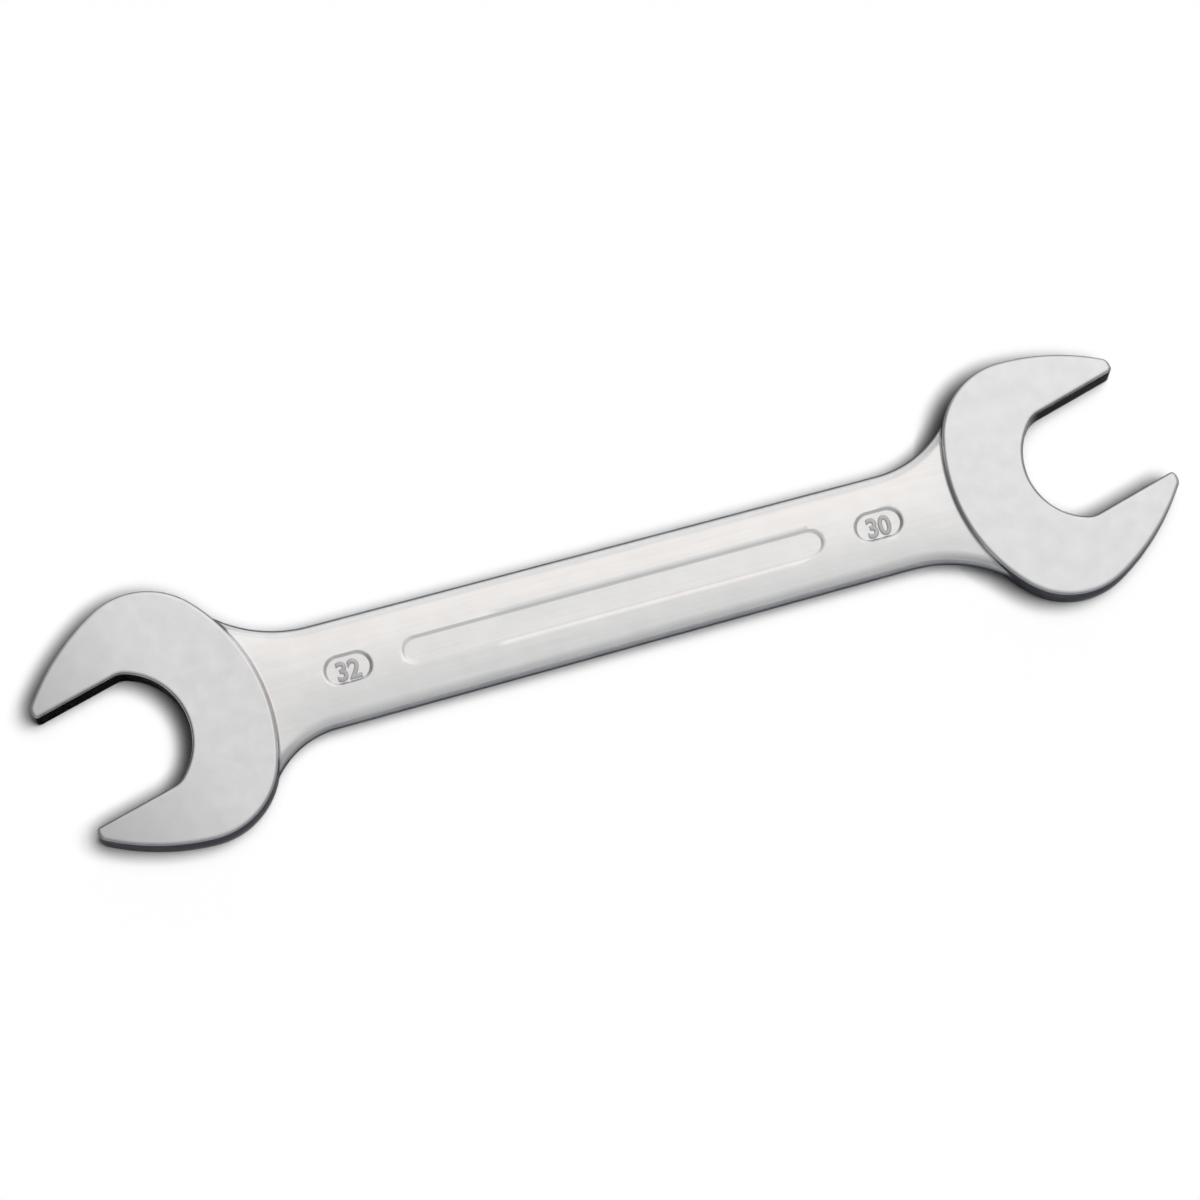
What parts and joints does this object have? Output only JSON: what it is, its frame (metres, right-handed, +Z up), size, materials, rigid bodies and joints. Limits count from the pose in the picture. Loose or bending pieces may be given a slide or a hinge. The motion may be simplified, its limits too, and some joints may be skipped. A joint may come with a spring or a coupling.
{
  "type": "open end wrench",
  "caption": "Double open end wrench: jaws of unlike size at the ends of a flat shank, both turned the same way, with a sunken panel and size marks; forged in one piece and satin plated.",
  "frame": {"origin": "on the ground under the middle of the wrench's box, with the wrench lying on the undersides of its heads", "axes": "+X along the shank towards the 30 mm head, +Z up through the thickness, +Y across the shank"},
  "size_m": [0.2982, 0.0676, 0.013],
  "materials": {
    "plated_steel": "satin chrome plating over ground forged steel"
  },
  "bodies": {
    "root": {"wrench_body": "plated_steel"}
  },
  "joints": []
}
